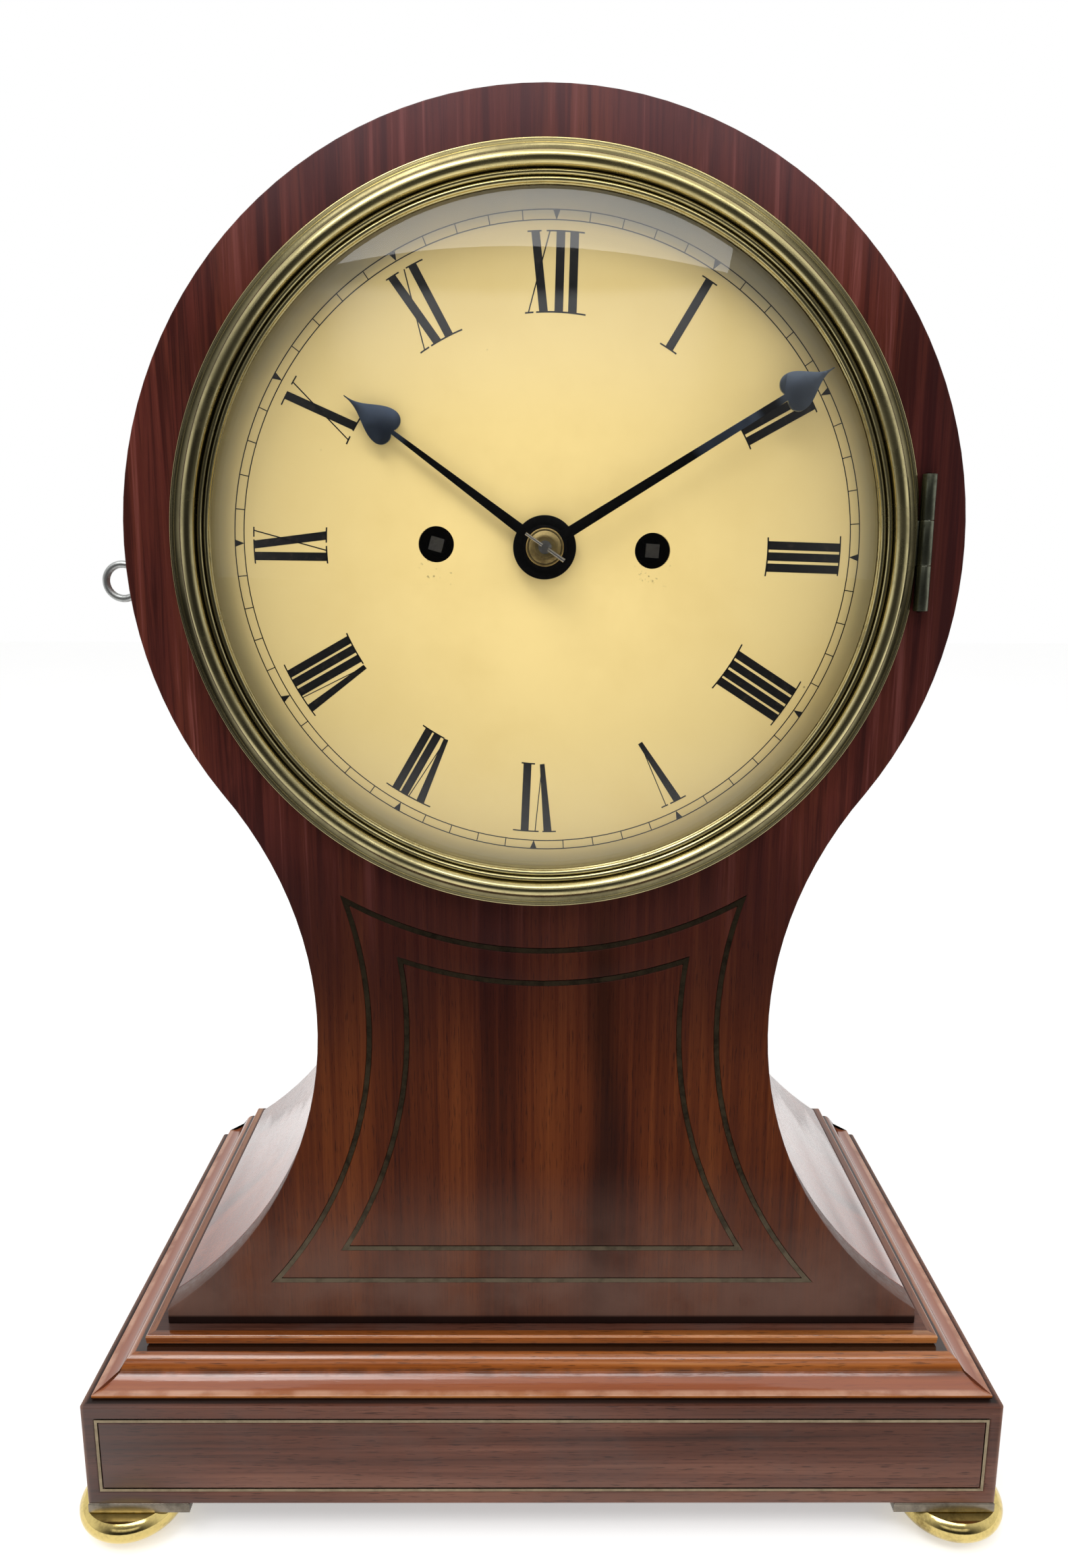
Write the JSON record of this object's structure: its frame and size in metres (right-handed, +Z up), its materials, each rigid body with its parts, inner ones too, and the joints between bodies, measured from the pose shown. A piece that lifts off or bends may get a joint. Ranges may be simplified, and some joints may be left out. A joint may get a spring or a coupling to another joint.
{
  "type": "balloon clock",
  "caption": "Balloon-shaped mahogany mantel clock with hinged brass bezel, painted dial, fusee movement, pendulum and bell strike, on a moulded base with brass bun feet.",
  "frame": {"origin": "on the floor under the middle of the base", "axes": "+Z up, -Y out of the dial towards the viewer, +X to the viewer's right"},
  "size_m": [0.3234, 0.1924, 0.464],
  "materials": {
    "mahogany": "polished",
    "oak": "plain",
    "brass": "aged",
    "movement_brass": "satin",
    "steel": "satin",
    "blued_steel": "blued",
    "bell_metal": "satin",
    "dial_white": "satin",
    "glass": "clear",
    "gut": "plain"
  },
  "bodies": {
    "case": {"base_block": "mahogany", "base_top": "mahogany", "cyma_moulding": "mahogany", "step_moulding": "mahogany", "feet": "brass", "case_front": "mahogany", "case_sides": "mahogany", "back_frame": "mahogany", "door_hinge_leaves": "brass", "door_hinge_pins": "steel", "brass_stringing": "brass", "seat_board": "oak", "seat_rails": "oak", "seat_bolts": "steel", "hinge_case_leaf": "brass", "hinge_pin": "steel", "bolt_guide": "brass", "dial": "dial_white", "front_plate": "movement_brass", "back_plate": "movement_brass", "plate_pillars": "movement_brass", "barrel_arbors": "steel", "mainsprings": "steel", "gut_lines": "gut", "back_cock": "movement_brass", "bell": "bell_metal", "bell_stand": "movement_brass"},
    "bezel": {"bezel": "brass", "bezel_glass": "glass", "hinge_bezel_leaf": "brass"},
    "catch": {"catch_bolt": "steel"},
    "door": {"back_door": "mahogany", "door_hinge_straps": "brass", "door_lock": "brass"},
    "door_bolt": {"door_bolt": "steel"},
    "pendulum": {"pendulum_rod": "steel", "pendulum_bob": "movement_brass"},
    "rating_nut": {"rating_nut": "movement_brass"},
    "anchor": {"anchor": "steel"},
    "escape": {"escape_wheel": "movement_brass"},
    "third": {"third_wheel": "movement_brass"},
    "centre": {"centre_wheel": "movement_brass", "hand_collet": "brass", "hand_pin": "steel"},
    "going_great": {"going_great_wheel": "movement_brass"},
    "minute": {"cannon_wheel": "movement_brass", "minute_hand": "blued_steel"},
    "minute_wheel": {"minute_wheel": "movement_brass"},
    "hour": {"hour_wheel": "movement_brass", "hour_hand": "blued_steel"},
    "going_fusee": {"going_fusee": "movement_brass"},
    "going_barrel": {"going_barrel": "movement_brass"},
    "strike_fusee": {"strike_fusee": "movement_brass"},
    "strike_barrel": {"strike_barrel": "movement_brass"},
    "fly": {"fly": "steel"},
    "warning": {"warning_wheel": "movement_brass"},
    "gathering": {"gathering_wheel": "movement_brass"},
    "pin_wheel": {"pin_wheel": "movement_brass"},
    "strike_great": {"strike_great_wheel": "movement_brass"},
    "hammer": {"hammer": "steel"}
  },
  "joints": [
    {"name": "pendulum_swing", "type": "hinge", "parent": "case", "child": "pendulum", "pos_m": [0.00185, 0, 0.40233], "axis": [0, 1, 0], "range_deg": [-3, 3]},
    {"name": "anchor_swing", "type": "hinge", "parent": "case", "child": "anchor", "pos_m": [0.00185, 0, 0.40233], "axis": [0, 1, 0], "range_deg": [-3, 3]},
    {"name": "escape_turn", "type": "hinge", "parent": "case", "child": "escape", "pos_m": [0.0012, 0, 0.37901], "axis": [0, 1, 0], "range_deg": [-3, 3]},
    {"name": "third_turn", "type": "hinge", "parent": "case", "child": "third", "pos_m": [0.00588, 0, 0.36033], "axis": [0, 1, 0], "range_deg": [-0.3, 0.3]},
    {"name": "centre_turn", "type": "hinge", "parent": "case", "child": "centre", "pos_m": [0, 0, 0.33601], "axis": [0, 1, 0], "range_deg": [-0.025, 0.025]},
    {"name": "going_great_turn", "type": "hinge", "parent": "case", "child": "going_great", "pos_m": [0.03349, 0, 0.33508], "axis": [0, 1, 0], "range_deg": [-0.0020833, 0.0020833]},
    {"name": "rating_nut_turn", "type": "hinge", "parent": "pendulum", "child": "rating_nut", "pos_m": [0.00185, 0.0255, 0.40233], "axis": [0, 0, 1], "continuous": true},
    {"name": "minute_hand_turn", "type": "hinge", "parent": "case", "child": "minute", "pos_m": [0, 0, 0.33601], "axis": [0, 1, 0], "continuous": true},
    {"name": "minute_wheel_turn", "type": "hinge", "parent": "case", "child": "minute_wheel", "pos_m": [0.00856, 0, 0.32018], "axis": [0, 1, 0], "continuous": true},
    {"name": "hour_hand_turn", "type": "hinge", "parent": "case", "child": "hour", "pos_m": [0, 0, 0.33601], "axis": [0, 1, 0], "continuous": true},
    {"name": "going_wind", "type": "hinge", "parent": "case", "child": "going_fusee", "pos_m": [0.03349, 0, 0.33508], "axis": [0, 1, 0], "continuous": true},
    {"name": "going_barrel_turn", "type": "hinge", "parent": "case", "child": "going_barrel", "pos_m": [0.04076, 0, 0.29085], "axis": [0, 1, 0], "continuous": true},
    {"name": "strike_wind", "type": "hinge", "parent": "case", "child": "strike_fusee", "pos_m": [-0.03349, 0, 0.33695], "axis": [0, 1, 0], "continuous": true},
    {"name": "strike_barrel_turn", "type": "hinge", "parent": "case", "child": "strike_barrel", "pos_m": [-0.04321, 0, 0.2932], "axis": [0, 1, 0], "continuous": true},
    {"name": "fly_spin", "type": "hinge", "parent": "case", "child": "fly", "pos_m": [-0.03437, 0, 0.40623], "axis": [0, 1, 0], "continuous": true},
    {"name": "warning_turn", "type": "hinge", "parent": "case", "child": "warning", "pos_m": [-0.02402, 0, 0.39987], "axis": [0, 1, 0], "continuous": true},
    {"name": "gathering_turn", "type": "hinge", "parent": "case", "child": "gathering", "pos_m": [-0.02583, 0, 0.38422], "axis": [0, 1, 0], "continuous": true},
    {"name": "pin_wheel_turn", "type": "hinge", "parent": "case", "child": "pin_wheel", "pos_m": [-0.03838, 0, 0.37009], "axis": [0, 1, 0], "continuous": true},
    {"name": "strike_great_turn", "type": "hinge", "parent": "case", "child": "strike_great", "pos_m": [-0.03349, 0, 0.33695], "axis": [0, 1, 0], "continuous": true},
    {"name": "hammer_lift", "type": "hinge", "parent": "case", "child": "hammer", "pos_m": [-0.05883, 0, 0.37867], "axis": [0, 1, 0], "range_deg": [-10, 0]},
    {"name": "bezel_open", "type": "hinge", "parent": "case", "child": "bezel", "pos_m": [0.1149, -0.0686, 0.33601], "axis": [0, 0, 1], "range_deg": [0, 110]},
    {"name": "catch_slide", "type": "slide", "parent": "case", "child": "catch", "axis": [1, 0, 0], "range_m": [0, 0.003]},
    {"name": "back_door_open", "type": "hinge", "parent": "case", "child": "door", "pos_m": [0.0995, 0.0804, 0.33601], "axis": [0, 0, -1], "range_deg": [0, 110]},
    {"name": "door_bolt_slide", "type": "slide", "parent": "door", "child": "door_bolt", "axis": [-1, 0, 0], "range_m": [0, 0.005]}
  ],
  "couplings": [
    {"joint": "anchor_swing", "follows": "pendulum_swing", "ratio": 1},
    {"joint": "escape_turn", "follows": "pendulum_swing", "ratio": 1},
    {"joint": "third_turn", "follows": "pendulum_swing", "ratio": -0.1},
    {"joint": "centre_turn", "follows": "pendulum_swing", "ratio": 0.0083333},
    {"joint": "going_great_turn", "follows": "pendulum_swing", "ratio": -0.00069444},
    {"joint": "minute_wheel_turn", "follows": "minute_hand_turn", "ratio": -1},
    {"joint": "hour_hand_turn", "follows": "minute_hand_turn", "ratio": 0.083333},
    {"joint": "going_barrel_turn", "follows": "going_wind", "ratio": 0.57127},
    {"joint": "strike_barrel_turn", "follows": "strike_wind", "ratio": 0.57127},
    {"joint": "warning_turn", "follows": "fly_spin", "ratio": -0.125},
    {"joint": "gathering_turn", "follows": "fly_spin", "ratio": 0.015625},
    {"joint": "pin_wheel_turn", "follows": "fly_spin", "ratio": -0.0019531},
    {"joint": "strike_great_turn", "follows": "fly_spin", "ratio": 0.00016276}
  ]
}
